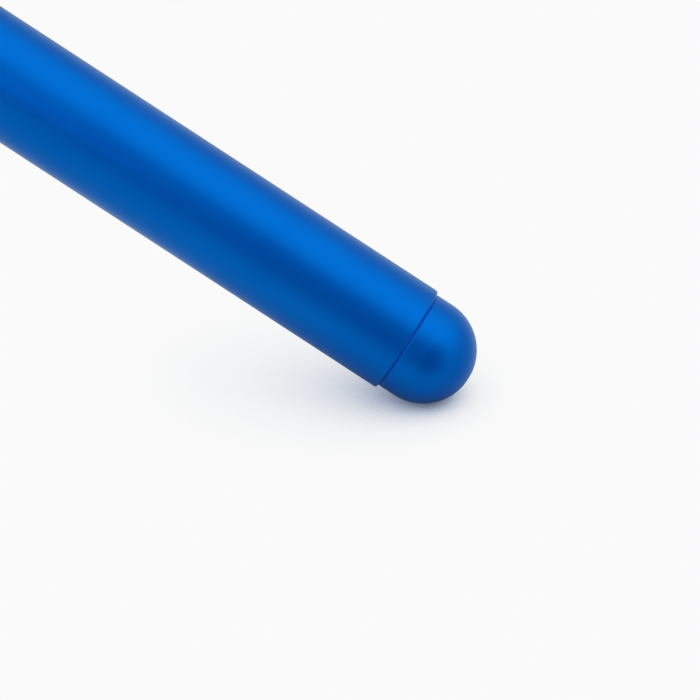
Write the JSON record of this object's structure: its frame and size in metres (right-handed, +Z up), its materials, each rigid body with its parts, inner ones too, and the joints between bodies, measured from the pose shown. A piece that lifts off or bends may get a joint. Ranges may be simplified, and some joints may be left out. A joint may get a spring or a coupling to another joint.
{
  "type": "3d printing pen",
  "caption": "Slim cordless 3D printing pen with a round anodised barrel, domed rear plug, push buttons and a geared filament drive.",
  "frame": {"origin": "middle of the pen's length and width, on the surface that the barrel lies on", "axes": "+X towards the domed rear end, +Z up through the control buttons, -Y the plain side"},
  "size_m": [0.1779, 0.018, 0.019],
  "materials": {
    "anodised_blue": "fine bead-blasted and satin anodised royal blue",
    "black_plastic": "fine-grained moulded nylon",
    "dark_plastic": "moulded component plastic",
    "frame_plastic": "glass-filled nylon",
    "satin_aluminium": "turned, satin",
    "button_metal": "bead-blasted, clear anodised",
    "steel": "turned or drawn steel",
    "brass": "machined brass",
    "bronze": "sintered bronze",
    "copper_winding": "enamelled copper winding",
    "white_ceramic": "unglazed alumina",
    "thermistor_glass": "amber glass bead",
    "fibre_sleeve": "resin-bonded glass fibre",
    "white_lead": "woven glass sleeving",
    "red_lead": "silicone-insulated wire",
    "ptfe": "translucent tube",
    "light_diffuser": "frosted",
    "circuit_board": "green solder mask",
    "cell_wrap": "shrink wrap",
    "black_rubber": "moulded"
  },
  "bodies": {
    "pen_body": {"nozzle": "brass", "nozzle_shroud": "white_ceramic", "heater_sleeve": "white_ceramic", "thermistor": "thermistor_glass", "heat_break": "steel", "insulation_sleeve": "fibre_sleeve", "heat_sink": "satin_aluminium", "heater_leads": "white_lead", "liner_tube": "ptfe", "nose_cone": "black_plastic", "trim_ring": "satin_aluminium", "front_barrel": "anodised_blue", "body_screw": "steel", "mid_ring": "satin_aluminium", "rear_barrel": "anodised_blue", "control_plate": "black_plastic", "light_pipe": "light_diffuser", "main_board": "circuit_board", "feed_switch": "dark_plastic", "retract_switch": "dark_plastic", "mode_switch": "dark_plastic", "slider_track": "dark_plastic", "status_led": "light_diffuser", "board_chips": "dark_plastic", "board_screws": "steel", "drive_frame": "frame_plastic", "front_bush": "bronze", "rear_bush": "bronze", "pivot_pin": "steel", "idler_spring": "steel", "gearbox_housing": "steel", "motor_can": "steel", "motor_end_cap": "dark_plastic", "motor_leads": "red_lead", "chassis": "frame_plastic", "battery_cell": "cell_wrap", "battery_leads": "red_lead", "guide_tube": "ptfe", "charge_board": "circuit_board", "usb_socket": "steel", "end_plug": "anodised_blue", "plug_o_ring": "black_rubber"},
    "feed_button_body": {"feed_button": "button_metal"},
    "retract_button_body": {"retract_button": "button_metal"},
    "mode_button_body": {"mode_button": "button_metal"},
    "speed_slider_body": {"speed_slider": "satin_aluminium"},
    "rotor_body": {"motor_rotor": "copper_winding", "sun_gear": "brass"},
    "carrier_body": {"planet_carrier": "steel", "motor_pinion": "brass"},
    "planet_1_body": {"planet_gear_1": "brass"},
    "planet_2_body": {"planet_gear_2": "brass"},
    "planet_3_body": {"planet_gear_3": "brass"},
    "feed_shaft_body": {"feed_shaft": "steel", "feed_screw": "steel", "feed_gear": "brass"},
    "idler_body": {"idler_arm": "satin_aluminium", "roller_pin": "steel"},
    "roller_body": {"idler_roller": "steel"}
  },
  "joints": [
    {"name": "feed_press", "type": "slide", "parent": "pen_body", "child": "feed_button_body", "axis": [0, 0, -1], "range_m": [0, 0.00035], "stiffness_N_per_m": 1500, "springref_m": -0.0003},
    {"name": "retract_press", "type": "slide", "parent": "pen_body", "child": "retract_button_body", "axis": [0, 0, -1], "range_m": [0, 0.00035], "stiffness_N_per_m": 1500, "springref_m": -0.0003},
    {"name": "mode_press", "type": "slide", "parent": "pen_body", "child": "mode_button_body", "axis": [0, 0, -1], "range_m": [0, 0.00035], "stiffness_N_per_m": 1500, "springref_m": -0.0003},
    {"name": "speed_slide", "type": "slide", "parent": "pen_body", "child": "speed_slider_body", "axis": [1, 0, 0], "range_m": [-0.002, 0.002]},
    {"name": "motor_spin", "type": "hinge", "parent": "pen_body", "child": "rotor_body", "pos_m": [0.006, 0.00354, 0.0059], "axis": [1, 0, 0], "continuous": true},
    {"name": "carrier_spin", "type": "hinge", "parent": "pen_body", "child": "carrier_body", "pos_m": [-0.005, 0.00354, 0.0059], "axis": [1, 0, 0], "continuous": true},
    {"name": "planet_1_spin", "type": "hinge", "parent": "carrier_body", "child": "planet_1_body", "pos_m": [-0.0016, 0.00512, 0.0059], "axis": [1, 0, 0], "continuous": true},
    {"name": "planet_2_spin", "type": "hinge", "parent": "carrier_body", "child": "planet_2_body", "pos_m": [-0.0016, 0.00276, 0.00726], "axis": [1, 0, 0], "continuous": true},
    {"name": "planet_3_spin", "type": "hinge", "parent": "carrier_body", "child": "planet_3_body", "pos_m": [-0.0016, 0.00276, 0.00454], "axis": [1, 0, 0], "continuous": true},
    {"name": "feed_spin", "type": "hinge", "parent": "pen_body", "child": "feed_shaft_body", "pos_m": [-0.014, 0, 0.00528], "axis": [1, 0, 0], "continuous": true},
    {"name": "idler_swing", "type": "hinge", "parent": "pen_body", "child": "idler_body", "pos_m": [-0.0074, 0, 0.012], "axis": [0, 1, 0], "range_deg": [0, 5], "stiffness_Nm_per_rad": 0.04, "springref_deg": -17.19, "deforming": ["idler_spring"]},
    {"name": "roller_spin", "type": "hinge", "parent": "idler_body", "child": "roller_body", "pos_m": [-0.016, 0, 0.01115], "axis": [0, 1, 0], "continuous": true}
  ],
  "couplings": [
    {"joint": "carrier_spin", "follows": "motor_spin", "ratio": 0.28571},
    {"joint": "planet_1_spin", "follows": "motor_spin", "ratio": -0.95238},
    {"joint": "planet_2_spin", "follows": "motor_spin", "ratio": -0.95238},
    {"joint": "planet_3_spin", "follows": "motor_spin", "ratio": -0.95238},
    {"joint": "feed_spin", "follows": "motor_spin", "ratio": -0.17143}
  ]
}
